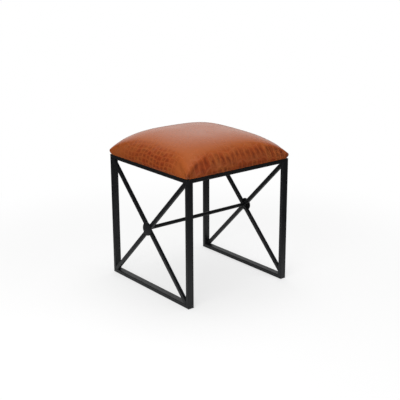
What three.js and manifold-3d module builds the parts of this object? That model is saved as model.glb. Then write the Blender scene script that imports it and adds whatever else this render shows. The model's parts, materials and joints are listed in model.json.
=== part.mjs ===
// X frame stool: a welded steel frame with a crossed brace in each side and one stretcher rod
// between the two crossings, under a crowned leather seat that is screwed on from below.
// Millimetres, +Z up. The origin lies on the floor under the middle of the stool.
// X runs from the left side frame to the right one, and Y from the front to the back.

import * as THREE from 'three';
import { mergeVertices } from 'three/addons/utils/BufferGeometryUtils.js';
import Module from 'manifold-3d';

const wasm = await Module();
wasm.setup();

// Welded frame, over its tubes
const frameWidth = 406;
const frameDepth = 406;
const frameHeight = 406;

// Rectangular tube of the posts and rails: its wide side runs across a side frame
const tubeWide = 22;
const tubeNarrow = 12.5;
const tubeWall = 1.5;
const tubeCornerRadius = 1.8;
const tubeInnerRadius = 0.5;
const weldGap = 0.3;

// Crossed braces of flat bar, flush with the outer face of their side frame
const braceWidth = 12.5;
const braceThickness = 9.5;
const braceEdgeRadius = 0.8;

// Discs over the crossings, and the rod that joins them, both set a little above the middle
const hubDiscDiameter = 43;
const hubDiscThickness = 4;
const hubDiscChamfer = 0.6;
const hubDiscRise = 1.5;
const stretcherDiameter = 12;
const stretcherRise = 3;

// Push-in glides under the ends of the bottom rails
const glideHeadDiameter = 14;
const glideHeadHeight = 2;
const glideHeadChamfer = 0.5;
const glideStemDiameter = 6;
const glideStemLength = 6;
const glideStemTip = 1;
const glideStemClearance = 0.15;
const glideInset = 32;

// Corner tabs in the top of the frame, which carry the seat
const tabLeg = 44;
const tabBluntEnd = 8;
const tabThickness = 3;
const tabHoleInset = 16;
const tabHoleClearance = 0.5;

// Screws, washers and flanged nuts that hold the seat
const screwDiameter = 6;
const screwLength = 15;
const screwTip = 0.8;
const screwHeadDiameter = 11;
const screwHeadHeight = 3.6;
const screwHeadChamfer = 0.7;
const screwSocketFlats = 4;
const screwSocketDepth = 2;
const washerDiameter = 15;
const washerThickness = 1.2;
const washerClearance = 0.3;
const nutFlangeDiameter = 19;
const nutFlangeThickness = 1.2;
const nutBarrelDiameter = 8;
const nutBarrelLength = 8;
const nutBoreClearance = 0.15;
const nutProngLength = 5;
const nutProngWidth = 3;
const nutProngThickness = 1;
const nutProngInset = 1.4;
const nutProngCount = 3;
const nutPocketClearance = 0.2;

// Seat: board, foam, fibre wrap, leather cover and the cloth that closes the underside
const boardInset = 2.5;
const boardThickness = 9.5;
const boardCornerRadius = 1;
const boardHoleClearance = 0.25;
const seatHeight = 89;
const leatherThickness = 1.2;
const leatherReturn = 30;
const leatherTuck = 3.8;
const wrapThickness = 4.4;
const dustCoverThickness = 0.4;
const dustCoverInset = 13;
const dustCoverCornerRadius = 10;
const dustCoverHoleDiameter = 9;
const layerGap = 0.2;

// The seat's shape, as shares of its sizes: the crown's rise over a half width, the crown's rings
// from the middle to the edge, and how far the side is tucked in at shares of its height
const crownSideShare = 3.25;
const crownRiseShare = 0.52;
const crownRings = 7;
const tuckShares = [
  [0, 1],
  [0.06, 0.72],
  [0.2, 0.4],
  [0.4, 0.14],
  [0.65, 0],
  [1, 0],
];
const innerFootTuckShare = 0.72;
const innerTuckShares = [
  [0.3, 0.26],
  [0.65, 0],
  [1, 0],
];
const outlineSideSteps = 8;
const outlineCornerSteps = 3;

// Round pieces
const tubeArcSteps = 3;
const braceArcSteps = 2;
const discSides = 48;
const rodSides = 24;
const fastenerSides = 20;
const hexagonSides = 6;
const cutOverrun = 2;

// Heights and places that follow from the sizes
const frameBottom = glideHeadHeight;
const frameTop = frameBottom + frameHeight;
const crossingHeight = frameBottom + frameHeight / 2;
const sideFrameX = (frameWidth - tubeWide) / 2;
const openingDepth = frameDepth - 2 * tubeNarrow;
const openingHeight = frameHeight - 2 * tubeNarrow;
const braceX = (frameWidth - braceThickness) / 2;
const tabCornerX = frameWidth / 2 - tubeWide;
const tabCornerY = frameDepth / 2 - tubeWide;
const seatScrewX = tabCornerX - tabHoleInset;
const seatScrewY = tabCornerY - tabHoleInset;
const dustCoverBottom = frameTop + layerGap;
const returnBottom = dustCoverBottom + dustCoverThickness + layerGap;
const boardBottom = returnBottom + leatherThickness + layerGap;
const boardTop = boardBottom + boardThickness;
const crownBase = boardTop + layerGap;
const seatTop = frameTop + seatHeight;
const boardHalfX = frameWidth / 2 - boardInset;
const boardHalfY = frameDepth / 2 - boardInset;

const finishes = {
  powderCoat: new THREE.MeshStandardMaterial({ color: 0x1c1d1f, roughness: 0.45, metalness: 0.3 }),
  leather: new THREE.MeshStandardMaterial({ color: 0xa6511f, roughness: 0.4, metalness: 0 }),
  foam: new THREE.MeshStandardMaterial({ color: 0xe9dcb2, roughness: 0.95, metalness: 0 }),
  wrap: new THREE.MeshStandardMaterial({ color: 0xf1efe8, roughness: 1, metalness: 0 }),
  plywood: new THREE.MeshStandardMaterial({ color: 0xc9a574, roughness: 0.7, metalness: 0 }),
  dustCloth: new THREE.MeshStandardMaterial({ color: 0x202022, roughness: 0.95, metalness: 0 }),
  zinc: new THREE.MeshStandardMaterial({ color: 0xb4b8bc, roughness: 0.35, metalness: 0.9 }),
  nylon: new THREE.MeshStandardMaterial({ color: 0x161617, roughness: 0.6, metalness: 0 }),
};

const stool = new THREE.Group();

// Adds one piece to a group under its name.
function addPiece(group, name, geometry, finish) {
  const mesh = new THREE.Mesh(geometry, finish);
  mesh.name = name;
  group.add(mesh);
  return mesh;
}

// A geometry as a solid that can be cut: shared corners are merged, collapsed triangles dropped.
function toSolid(geometry) {
  const bare = geometry.clone();
  bare.deleteAttribute('normal');
  bare.deleteAttribute('uv');
  const merged = mergeVertices(bare);
  const corners = merged.index.array;
  const kept = [];
  for (let i = 0; i < corners.length; i += 3) {
    const [a, b, c] = corners.slice(i, i + 3);
    if (a !== b && b !== c && c !== a) {
      kept.push(a, b, c);
    }
  }
  const vertProperties = new Float32Array(merged.attributes.position.array);
  return new wasm.Manifold(new wasm.Mesh({ numProp: 3, vertProperties, triVerts: new Uint32Array(kept) }));
}

function toGeometry(solid) {
  const { vertProperties, triVerts, numProp } = solid.getMesh();
  const positions = [];
  for (let i = 0; i < vertProperties.length; i += numProp) {
    positions.push(...vertProperties.slice(i, i + 3));
  }
  const geometry = new THREE.BufferGeometry();
  geometry.setAttribute('position', new THREE.Float32BufferAttribute(positions, 3));
  geometry.setIndex([...triVerts]);
  geometry.computeVertexNormals();
  return geometry;
}

// The geometry with each of the cutters taken away.
function cut(geometry, cutters) {
  let solid = toSolid(geometry);
  for (const cutter of cutters) {
    solid = solid.subtract(toSolid(cutter));
  }
  return toGeometry(solid);
}

// A rectangle with rounded corners about the origin, drawn on a shape or on the path of a hole.
function roundedRectangle(path, width, height, radius) {
  const x = width / 2 - radius;
  const y = height / 2 - radius;
  const quarter = Math.PI / 2;
  path.moveTo(x + radius, y);
  path.absarc(x, y, radius, 0, quarter);
  path.absarc(-x, y, radius, quarter, 2 * quarter);
  path.absarc(-x, -y, radius, 2 * quarter, 3 * quarter);
  path.absarc(x, -y, radius, 3 * quarter, 4 * quarter);
  return path;
}

// A turned piece standing on Z, from its profile of radius and height.
function turned(profile, sides) {
  const points = profile.map(([radius, height]) => new THREE.Vector2(radius, height));
  return new THREE.LatheGeometry(points, sides).rotateX(Math.PI / 2);
}

// A plain round cutter standing on Z between two heights.
function roundCutter(radius, low, high) {
  return turned([[0, low], [radius, low], [radius, high], [0, high]], fastenerSides);
}

// A length of tube along Z about the origin. Its wide side lies along X. A mitred tube is longest
// on its +Y side, and its ends stop short of the mitre by half the weld gap.
function tube(centreLength, mitred) {
  const section = roundedRectangle(new THREE.Shape(), tubeWide, tubeNarrow, tubeCornerRadius);
  const bore = roundedRectangle(
    new THREE.Path(), tubeWide - 2 * tubeWall, tubeNarrow - 2 * tubeWall, tubeInnerRadius,
  );
  section.holes.push(bore);
  const options = { depth: centreLength, steps: 1, bevelEnabled: false, curveSegments: tubeArcSteps };
  const geometry = new THREE.ExtrudeGeometry(section, options);
  geometry.translate(0, 0, -centreLength / 2);
  if (mitred) {
    const places = geometry.attributes.position;
    const pullBack = weldGap / 2 * Math.SQRT2;
    for (let i = 0; i < places.count; i += 1) {
      const end = Math.sign(places.getZ(i));
      places.setZ(i, places.getZ(i) + end * (places.getY(i) - pullBack));
    }
  }
  return geometry;
}

// One side frame: two posts and two rails, mitred at their corners, and the holes for the glides.
function addSideFrame(group, side) {
  const postLength = frameHeight - tubeNarrow;
  const railLength = frameDepth - tubeNarrow;
  const bottomRail = tube(railLength, true);
  const holes = [-1, 1].map((end) => {
    const hole = new THREE.CylinderGeometry(
      glideStemDiameter / 2 + glideStemClearance,
      glideStemDiameter / 2 + glideStemClearance,
      tubeWall + 2 * cutOverrun,
      fastenerSides,
    );
    return hole.translate(0, (tubeNarrow - tubeWall) / 2, end * (frameDepth / 2 - glideInset));
  });
  for (const [place, turn] of [['back', 0], ['front', Math.PI]]) {
    const post = addPiece(group, `${side}_${place}_post`, tube(postLength, true), finishes.powderCoat);
    post.rotation.z = turn;
    post.position.set(0, Math.cos(turn) * railLength / 2, crossingHeight);
  }
  const top = addPiece(group, `${side}_top_rail`, tube(railLength, true), finishes.powderCoat);
  top.rotation.x = Math.PI / 2;
  top.position.set(0, 0, crossingHeight + postLength / 2);
  const bottom = addPiece(group, `${side}_bottom_rail`, cut(bottomRail, holes), finishes.powderCoat);
  bottom.rotation.x = -Math.PI / 2;
  bottom.position.set(0, 0, crossingHeight - postLength / 2);
}

// A long bar through the origin, its width in the plane of the side frame, along one diagonal of
// the frame's opening: way is 1 for the one that rises to the back and -1 for the other.
function diagonalBar(width, thickness, radius, way) {
  const reach = openingDepth + openingHeight;
  const section = roundedRectangle(new THREE.Shape(), thickness, width, radius);
  const options = { depth: reach, steps: 1, bevelEnabled: false, curveSegments: braceArcSteps };
  const bar = new THREE.ExtrudeGeometry(section, options);
  bar.translate(0, 0, -reach / 2);
  return bar.rotateX(-way * Math.atan2(openingDepth, openingHeight));
}

// The half of the side frame's plane above (1) or below (-1) the long brace and its weld gap.
function halfPlane(which) {
  const reach = openingDepth + openingHeight;
  const block = new THREE.BoxGeometry(reach, reach, reach);
  block.translate(0, -which * (reach / 2 + braceWidth / 2 + weldGap), 0);
  return block.rotateX(-Math.atan2(openingDepth, openingHeight));
}

// The crossed braces of one side: a long one from corner to corner and two halves that meet it.
function addBraces(group, side) {
  const opening = new THREE.BoxGeometry(tubeWide, openingDepth - 2 * weldGap, openingHeight - 2 * weldGap);
  const room = toSolid(opening);
  const long = toSolid(diagonalBar(braceWidth, braceThickness, braceEdgeRadius, 1)).intersect(room);
  const crossing = toSolid(diagonalBar(braceWidth, braceThickness, braceEdgeRadius, -1)).intersect(room);
  const upper = crossing.intersect(toSolid(halfPlane(1)));
  const lower = crossing.intersect(toSolid(halfPlane(-1)));
  const pieces = [['long_brace', long], ['upper_half_brace', upper], ['lower_half_brace', lower]];
  for (const [name, solid] of pieces) {
    const mesh = addPiece(group, `${side}_${name}`, toGeometry(solid), finishes.powderCoat);
    mesh.position.set(0, 0, crossingHeight);
  }
}

// A disc standing on Z, chamfered round its outer face.
function hubDisc() {
  const radius = hubDiscDiameter / 2;
  return turned([
    [0, 0],
    [radius, 0],
    [radius, hubDiscThickness - hubDiscChamfer],
    [radius - hubDiscChamfer, hubDiscThickness],
    [0, hubDiscThickness],
  ], discSides);
}

// A glide standing on the floor, its stem up.
function floorGlide() {
  const head = glideHeadDiameter / 2;
  const stem = glideStemDiameter / 2;
  const top = glideHeadHeight + glideStemLength;
  return turned([
    [0, 0],
    [head - glideHeadChamfer, 0],
    [head, glideHeadChamfer],
    [head, glideHeadHeight],
    [stem, glideHeadHeight],
    [stem, top - glideStemTip],
    [stem - glideStemTip, top],
    [0, top],
  ], fastenerSides);
}

// A tab in the corner of the top frame, with its corner at the origin and its legs along the rails.
function seatTab(signX, signY) {
  const outline = [
    [0, 0],
    [tabLeg, 0],
    [tabLeg, tabBluntEnd],
    [tabBluntEnd, tabLeg],
    [0, tabLeg],
  ];
  const shape = new THREE.Shape(outline.map(([x, y]) => new THREE.Vector2(-signX * x, -signY * y)));
  const plate = new THREE.ExtrudeGeometry(shape, { depth: tabThickness, steps: 1, bevelEnabled: false });
  const hole = roundCutter(screwDiameter / 2 + tabHoleClearance, -cutOverrun, tabThickness + cutOverrun);
  hole.translate(-signX * tabHoleInset, -signY * tabHoleInset, 0);
  return cut(plate, [hole]);
}

// A screw that points up, with the underside of its head at the origin.
function seatScrew() {
  const head = screwHeadDiameter / 2;
  const shank = screwDiameter / 2;
  const blank = turned([
    [0, -screwHeadHeight],
    [head - screwHeadChamfer, -screwHeadHeight],
    [head, screwHeadChamfer - screwHeadHeight],
    [head, 0],
    [shank, 0],
    [shank, screwLength - screwTip],
    [shank - screwTip, screwLength],
    [0, screwLength],
  ], fastenerSides);
  const socketRadius = screwSocketFlats / Math.sqrt(3);
  const socketDepth = screwSocketDepth + cutOverrun;
  const socket = new THREE.CylinderGeometry(socketRadius, socketRadius, socketDepth, hexagonSides);
  socket.rotateX(Math.PI / 2);
  socket.translate(0, 0, screwSocketDepth - screwHeadHeight - socketDepth / 2);
  return cut(blank, [socket]);
}

function seatWasher() {
  const bore = screwDiameter / 2 + washerClearance;
  const rim = washerDiameter / 2;
  return turned([[bore, 0], [rim, 0], [rim, washerThickness], [bore, washerThickness], [bore, 0]], fastenerSides);
}

// The prongs under a nut's flange, grown on every side by a clearance.
function nutProngs(clearance) {
  const size = [
    nutProngThickness + 2 * clearance,
    nutProngWidth + 2 * clearance,
    nutProngLength + 2 * clearance,
  ];
  const prongs = [];
  for (let i = 0; i < nutProngCount; i += 1) {
    const prong = new THREE.BoxGeometry(...size);
    const radius = nutFlangeDiameter / 2 - nutProngInset;
    prong.translate(radius, 0, -nutFlangeThickness / 2 - nutProngLength / 2);
    prongs.push(prong.rotateZ(i * 2 * Math.PI / nutProngCount));
  }
  return prongs;
}

// A flanged nut with its flange's top at the origin and its barrel down.
function seatNut() {
  const bore = screwDiameter / 2 + nutBoreClearance;
  const barrel = nutBarrelDiameter / 2;
  const flange = nutFlangeDiameter / 2;
  const foot = -nutFlangeThickness - nutBarrelLength;
  const body = turned([
    [bore, foot],
    [barrel, foot],
    [barrel, -nutFlangeThickness],
    [flange, -nutFlangeThickness],
    [flange, 0],
    [bore, 0],
    [bore, foot],
  ], fastenerSides);
  let solid = toSolid(body);
  for (const prong of nutProngs(0)) {
    solid = solid.add(toSolid(prong));
  }
  return toGeometry(solid);
}

// The board under the foam, bored for the screws and pocketed for the nuts.
function seatBoard() {
  const shape = new THREE.Shape(planOutline(0).map(([x, y]) => new THREE.Vector2(x, y)));
  const board = new THREE.ExtrudeGeometry(shape, { depth: boardThickness, steps: 1, bevelEnabled: false });
  const pocketDepth = nutFlangeThickness + nutPocketClearance;
  const cutters = [];
  for (const [signX, signY] of corners()) {
    const bore = roundCutter(nutBarrelDiameter / 2 + boardHoleClearance, -cutOverrun, boardThickness + cutOverrun);
    const pocket = roundCutter(
      nutFlangeDiameter / 2 + nutPocketClearance, boardThickness - pocketDepth, boardThickness + cutOverrun,
    );
    const slots = nutProngs(nutPocketClearance).map((slot) => slot.translate(0, 0, boardThickness));
    for (const cutter of [bore, pocket, ...slots]) {
      cutters.push(cutter.translate(signX * seatScrewX, signY * seatScrewY, 0));
    }
  }
  return cut(board, cutters);
}

// The cloth under the board, with a hole round each screw.
function dustCover() {
  const width = frameWidth - 2 * dustCoverInset;
  const depth = frameDepth - 2 * dustCoverInset;
  const shape = roundedRectangle(new THREE.Shape(), width, depth, dustCoverCornerRadius);
  for (const [signX, signY] of corners()) {
    const hole = new THREE.Path();
    hole.absarc(signX * seatScrewX, signY * seatScrewY, dustCoverHoleDiameter / 2, 0, 2 * Math.PI);
    shape.holes.push(hole);
  }
  const options = { depth: dustCoverThickness, steps: 1, bevelEnabled: false, curveSegments: outlineCornerSteps };
  return new THREE.ExtrudeGeometry(shape, options);
}

// The four corners of the plan as signs of X and Y, and their names.
function corners() {
  return [
    [-1, -1, 'left_front'],
    [1, -1, 'right_front'],
    [-1, 1, 'left_back'],
    [1, 1, 'right_back'],
  ];
}

// The seat's plan outline, grown by a distance from the board's edge: points counterclockwise.
// Its corners grow rounder outside the board's edge, and stay as round as the board's inside it.
function planOutline(grown) {
  const radius = boardCornerRadius + Math.max(grown, 0);
  const x = boardHalfX + grown - radius;
  const y = boardHalfY + grown - radius;
  const turns = [[x, y], [-x, y], [-x, -y], [x, -y]];
  const points = [];
  turns.forEach(([centreX, centreY], quarter) => {
    const [nextX, nextY] = turns[(quarter + 1) % turns.length];
    for (let i = 0; i < outlineCornerSteps; i += 1) {
      const angle = Math.PI / 2 * (quarter + i / outlineCornerSteps);
      points.push([centreX + radius * Math.cos(angle), centreY + radius * Math.sin(angle)]);
    }
    const angle = Math.PI / 2 * (quarter + 1);
    for (let i = 0; i < outlineSideSteps; i += 1) {
      const share = i / outlineSideSteps;
      points.push([
        centreX + (nextX - centreX) * share + radius * Math.cos(angle),
        centreY + (nextY - centreY) * share + radius * Math.sin(angle),
      ]);
    }
  });
  return points;
}

// A flat ring of the seat at one height: the plan outline, grown by a distance.
function flatRing(grown, height) {
  return planOutline(grown).map(([x, y]) => new THREE.Vector3(x, y, height));
}

// The crown's rings from its middle point to the ring at its edge, for a layer that is grown from
// the board's edge by a distance and reaches up to its own top.
function crownRingsOf(grown, top) {
  const halfX = boardHalfX + grown;
  const halfY = boardHalfY + grown;
  const rings = [[new THREE.Vector3(0, 0, top)]];
  for (let ring = 1; ring <= crownRings; ring += 1) {
    const share = Math.sin(Math.PI / 2 * ring / crownRings);
    rings.push(planOutline(grown).map(([x, y]) => {
      const square = share / Math.max(Math.abs(x) / halfX, Math.abs(y) / halfY);
      const acrossX = 1 - Math.min(1, Math.abs(x) / halfX * square) ** crownSideShare;
      const acrossY = 1 - Math.min(1, Math.abs(y) / halfY * square) ** crownSideShare;
      const rise = (acrossX * acrossY) ** crownRiseShare;
      return new THREE.Vector3(x * share, y * share, crownBase + (top - crownBase) * rise);
    }));
  }
  return rings;
}

// The rings down a side below the crown, tucked in towards its foot.
function sideRings(grown, shares) {
  const sideHeight = crownBase - returnBottom;
  return shares.map(([heightShare, tuckShare]) => (
    flatRing(grown - leatherTuck * tuckShare, returnBottom + sideHeight * heightShare)
  ));
}

// A closed body through a row of rings. A ring of one point is a pole, and the row starts and
// ends at one. Seen from above, the rings run counterclockwise and the first ones face up. The
// facets of a layer's inside are split as those of its outside are, so that layers nest.
function bodyFromRings(rings) {
  const positions = [];
  const starts = rings.map((ring) => {
    const start = positions.length / 3;
    ring.forEach((point) => positions.push(point.x, point.y, point.z));
    return start;
  });
  const corner = (ring, i) => starts[ring] + (i % rings[ring].length);
  const triangles = [];
  for (let k = 0; k + 1 < rings.length; k += 1) {
    const widens = Math.abs(rings[k + 1][0].x) >= Math.abs(rings[k][0].x);
    const count = Math.max(rings[k].length, rings[k + 1].length);
    for (let i = 0; i < count; i += 1) {
      const [a, b, c, d] = [corner(k, i), corner(k + 1, i), corner(k + 1, i + 1), corner(k, i + 1)];
      const facets = widens ? [[a, b, c], [a, c, d]] : [[a, b, d], [b, c, d]];
      triangles.push(...facets.filter((facet) => new Set(facet).size === facet.length).flat());
    }
  }
  const geometry = new THREE.BufferGeometry();
  geometry.setAttribute('position', new THREE.Float32BufferAttribute(positions, 3));
  geometry.setIndex(triangles);
  geometry.computeVertexNormals();
  return geometry;
}

// The foam: a crowned block on the board, as wide as the board.
function foamPad() {
  const foamTop = seatTop - leatherThickness - wrapThickness - 2 * layerGap;
  return bodyFromRings([...crownRingsOf(0, foamTop), [new THREE.Vector3(0, 0, crownBase)]]);
}

// The fibre wrap over the foam and down the upper part of the board's edge.
function fibreWrap() {
  const inner = layerGap;
  const outer = layerGap + wrapThickness;
  const outerTop = seatTop - leatherThickness - layerGap;
  const fullShare = tuckShares.find(([, tuckShare]) => tuckShare === 0)[0];
  const foot = returnBottom + (crownBase - returnBottom) * fullShare;
  const underside = crownRingsOf(inner, outerTop - wrapThickness).reverse();
  return bodyFromRings([
    ...crownRingsOf(outer, outerTop),
    flatRing(outer, foot),
    flatRing(inner, foot),
    ...underside,
  ]);
}

// The leather: a crowned shell, tucked in at its foot and returned under the board.
function leatherCover() {
  const inner = 2 * layerGap + wrapThickness;
  const outer = inner + leatherThickness;
  const returnTop = returnBottom + leatherThickness;
  const returnEdge = -leatherReturn;
  const outside = [...crownRingsOf(outer, seatTop), ...sideRings(outer, tuckShares).reverse().slice(1)];
  const underside = [
    flatRing(returnEdge, returnBottom),
    flatRing(returnEdge, returnTop),
  ];
  const inside = [
    flatRing(inner - leatherTuck * innerFootTuckShare, returnTop),
    ...sideRings(inner, innerTuckShares).slice(0, -1),
    ...crownRingsOf(inner, seatTop - leatherThickness).reverse(),
  ];
  return bodyFromRings([...outside, ...underside, ...inside]);
}

// Side frames
for (const [sign, side] of [[-1, 'left'], [1, 'right']]) {
  const tubes = new THREE.Group();
  tubes.position.x = sign * sideFrameX;
  addSideFrame(tubes, side);
  const braces = new THREE.Group();
  braces.position.x = sign * braceX;
  addBraces(braces, side);
  const disc = addPiece(stool, `${side}_hub_disc`, hubDisc(), finishes.powderCoat);
  disc.rotation.y = sign * Math.PI / 2;
  disc.position.set(sign * (frameWidth / 2 + weldGap), 0, crossingHeight + hubDiscRise);
  stool.add(tubes, braces);
}

// Cross rails between the tops of the side frames
for (const [sign, place] of [[-1, 'front'], [1, 'back']]) {
  const rail = tube(frameWidth - 2 * tubeWide, false).rotateZ(Math.PI / 2).rotateY(Math.PI / 2);
  const mesh = addPiece(stool, `${place}_top_rail`, rail, finishes.powderCoat);
  mesh.position.set(0, sign * (frameDepth - tubeWide) / 2, frameTop - tubeNarrow / 2);
}

// Stretcher between the inner faces of the two crossings
const stretcherReach = frameWidth / 2 - braceThickness - weldGap;
const stretcher = turned([
  [0, -stretcherReach],
  [stretcherDiameter / 2, -stretcherReach],
  [stretcherDiameter / 2, stretcherReach],
  [0, stretcherReach],
], rodSides);
stretcher.rotateY(Math.PI / 2);
const rod = addPiece(stool, 'stretcher_rod', stretcher, finishes.powderCoat);
rod.position.z = crossingHeight + stretcherRise;

// What repeats at the four corners: glides, seat tabs, and the seat's screws, washers and nuts
for (const [signX, signY, corner] of corners()) {
  const glide = addPiece(stool, `${corner}_floor_glide`, floorGlide(), finishes.nylon);
  glide.position.set(signX * sideFrameX, signY * (frameDepth / 2 - glideInset), 0);
  const tab = addPiece(stool, `${corner}_seat_tab`, seatTab(signX, signY), finishes.powderCoat);
  tab.position.set(signX * tabCornerX, signY * tabCornerY, frameTop - tabThickness);
  const headSeat = frameTop - tabThickness - washerThickness;
  const fasteners = [
    [`${corner}_seat_screw`, seatScrew(), headSeat],
    [`${corner}_seat_washer`, seatWasher(), headSeat],
    [`${corner}_seat_nut`, seatNut(), boardTop],
  ];
  for (const [name, geometry, height] of fasteners) {
    addPiece(stool, name, geometry, finishes.zinc).position.set(signX * seatScrewX, signY * seatScrewY, height);
  }
}

// Seat
addPiece(stool, 'seat_board', seatBoard(), finishes.plywood).position.z = boardBottom;
addPiece(stool, 'dust_cover', dustCover(), finishes.dustCloth).position.z = dustCoverBottom;
addPiece(stool, 'foam_pad', foamPad(), finishes.foam);
addPiece(stool, 'fibre_wrap', fibreWrap(), finishes.wrap);
addPiece(stool, 'leather_cover', leatherCover(), finishes.leather);

export default stool;
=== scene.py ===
# The looks of the x frame stool: a welded black frame under a crowned seat in embossed leather.
# Metres, +Z up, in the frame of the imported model: the floor is at height 0, -X is the left side
# frame and -Y is the front.

import json
import math

import bmesh
import bpy
import numpy as np
from mathutils import Matrix, Vector, noise


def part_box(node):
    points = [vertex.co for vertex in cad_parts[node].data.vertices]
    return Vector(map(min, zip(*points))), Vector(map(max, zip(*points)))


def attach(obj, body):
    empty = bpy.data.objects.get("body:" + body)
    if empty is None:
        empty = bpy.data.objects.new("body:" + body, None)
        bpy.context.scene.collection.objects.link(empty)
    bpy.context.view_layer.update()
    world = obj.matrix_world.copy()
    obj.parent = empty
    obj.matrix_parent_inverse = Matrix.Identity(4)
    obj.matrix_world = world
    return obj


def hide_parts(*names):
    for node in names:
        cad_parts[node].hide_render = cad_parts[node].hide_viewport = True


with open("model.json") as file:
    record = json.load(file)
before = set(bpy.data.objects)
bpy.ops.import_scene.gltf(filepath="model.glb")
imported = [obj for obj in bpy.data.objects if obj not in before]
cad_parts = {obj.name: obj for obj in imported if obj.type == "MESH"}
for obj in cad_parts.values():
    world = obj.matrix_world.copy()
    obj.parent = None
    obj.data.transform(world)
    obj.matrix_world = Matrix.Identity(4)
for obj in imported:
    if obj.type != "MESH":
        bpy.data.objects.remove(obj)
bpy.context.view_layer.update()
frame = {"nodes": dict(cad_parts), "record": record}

# Sides, ends and corners of the frame, with their signs along X and Y
SIDES = (("left", -1), ("right", 1))
ENDS = (("front", -1), ("back", 1))
CORNERS = [(f"{side}_{end}", sign, across) for side, sign in SIDES for end, across in ENDS]
QUARTER = math.pi / 2

# The camera, as fitted to the corners of the frame in the photograph
CAMERA_AZIMUTH = math.radians(-38.666)
CAMERA_ELEVATION = math.radians(17.104)
CAMERA_ROLL = math.radians(-0.233)
CAMERA_DISTANCE = 2.8668
CAMERA_AIM = Vector((0.0065, 0.0, 0.2598))
CAMERA_CLIP_END = 60.0
FOCAL_PIXELS = 881.26
PICTURE_PIXELS = 400
SENSOR_MILLIMETRES = 36.0

# Seat: its crown, the rings of its drawn-in side as shares of its height, tuck and hang, and the
# leather's return under the board
CROWN_SIDE_SHARE = 3.25
CROWN_RISE_SHARE = 0.52
SEAT_CORNER_RADIUS = 0.007
SEAT_FOOT_RADIUS = 0.013
CROWN_LEAN = 0.0038
LEATHER_THICKNESS = 0.0012
LEATHER_RETURN = 0.030
LEATHER_TUCK = 0.0038
WRAP_THICKNESS = 0.0034
WRAP_LAST_RING = 3
FOAM_ROOM = 0.0008
LAYER_GAP = 0.0002
SIDE_SHARES = [
    (0.65, 0.0, 0.0),
    (0.4, 0.06, 0.2),
    (0.2, 0.22, 0.6),
    (0.06, 0.5, 1.0),
    (0.04, 0.76, 1.0),
    (0.0, 1.0, 0.0),
]
LEATHER_HANG = 0.0014
HANG_RANGE = (0.80, 0.93)
RETURN_SHARES = [0.12, 0.4, 0.7, 1.0]
SHEET_CELLS = 80
LEATHER_LEVELS = 2
WRAP_LEVELS = 1
ARC_SAMPLES = 400
SHARE_DIGITS = 6

# The cloth run that swells the leather over its padding: the room that it swells into, the longest
# move of a point, the frames that it runs and the cloth's settings
SWELL_SIDE_ROOM = 0.0010
SWELL_TOP_ROOM = 0.0050
SWELL_CAP = 0.0060
SWELL_FRAMES = 20
SWELL_SETTINGS = {
    "quality": 6,
    "mass": 0.3,
    "tension_stiffness": 30,
    "compression_stiffness": 30,
    "shear_stiffness": 15,
    "bending_stiffness": 2,
    "use_pressure": True,
    "uniform_pressure_force": 4.0,
}

# Softening of the seat's corners, their pleats, and the pull of the staples along its lower edge
SOFT_REACH = 0.034
SOFT_ROUNDS = 8
SOFT_ROUND_SHARE = 0.5
SOFT_LEVEL_SHARE = SIDE_SHARES[2][0]
PLEAT_ANGLES = (-0.30, 0.30)
PLEAT_DEPTH = 0.0007
PLEAT_WIDTH = 0.0022
PLEAT_CENTRE = 0.025
PLEAT_HEIGHT = 0.030
PULL_DEPTH = 0.0003
PULL_PITCHES = (0.041, 0.0265)
PULL_HEIGHT = 0.022

# Embossed tiles: their sizes along X and Y and where these change, in metres on the flat hide; how
# far they break, wander and lean, as shares of a tile; and their creases
TILE_WIDTH = 0.020
TILE_WIDTH_LEFT = 0.0135
TILE_LENGTH_FRONT = 0.0500
TILE_LENGTH = 0.0190
TILE_LEFT_RANGE = (-0.235, -0.150)
TILE_FRONT_RANGE = (-0.200, -0.140)
TILE_LINE = -0.2310
TILE_BREAK = 0.26
TILE_BREAK_SCALES = (34.0, 6.0)
TILE_BREAK_LEVEL = 0.5
TILE_LINE_SHARE = 0.65
TILE_RANDOMNESS = 0.30
TILE_WANDER = 0.13
TILE_WANDER_SCALE = 14.0
TILE_SEED = 1
TILE_LEAN = 0.30
TILE_LEAN_RATE = 0.9
TILE_RELIEF = 0.00040
TILE_CREASE_WIDTH = 0.10
TILE_CREASE_START = 0.01
HIDE_REACH = 0.32
HIDE_MAP = "hide"

# How deep and dark the tiles are: full on the sides, less on the top, where their paler, plainer
# colour is a painted sheen, and less at the lower edge, where their paler colour is painted light.
# Round some places of the flat hide they are fainter by a share, or deeper where it is below zero:
# the shoulder over the front left corner, the far end of the left side, the right end of the front,
# where the deeper tiles with more dark spots are a painted shade
DEPTH_NAME = "tile_depth"
TOP_SHARE = 0.12
TOP_RANGE = (0.160, 0.208)
FAINT_PLACES = [
    ((-0.212, -0.170), (0.048, 0.060), 0.85),
    ((-0.225, 0.165), (0.070, 0.105), 0.80),
    ((0.195, -0.225), (0.060, 0.030), -0.20),
]
LOWER_EDGE_LIGHT_SHARE = 0.70
LOWER_EDGE_LIGHT_HEIGHT = 0.0045

# Floor: its own tone and light near the stool, the distances over which it turns white to the
# camera, and those over which it sends less light back
FLOOR_RADIUS = 14.0
FLOOR_SIDES = 96
FLOOR_TONE = 0.36
FLOOR_LIFT = 0.662
WHITE_RANGE = (0.50, 1.25)
BOUNCE_RANGE = (0.30, 0.80)
BOUNCE_TONES = (0.75, 0.08)

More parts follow.
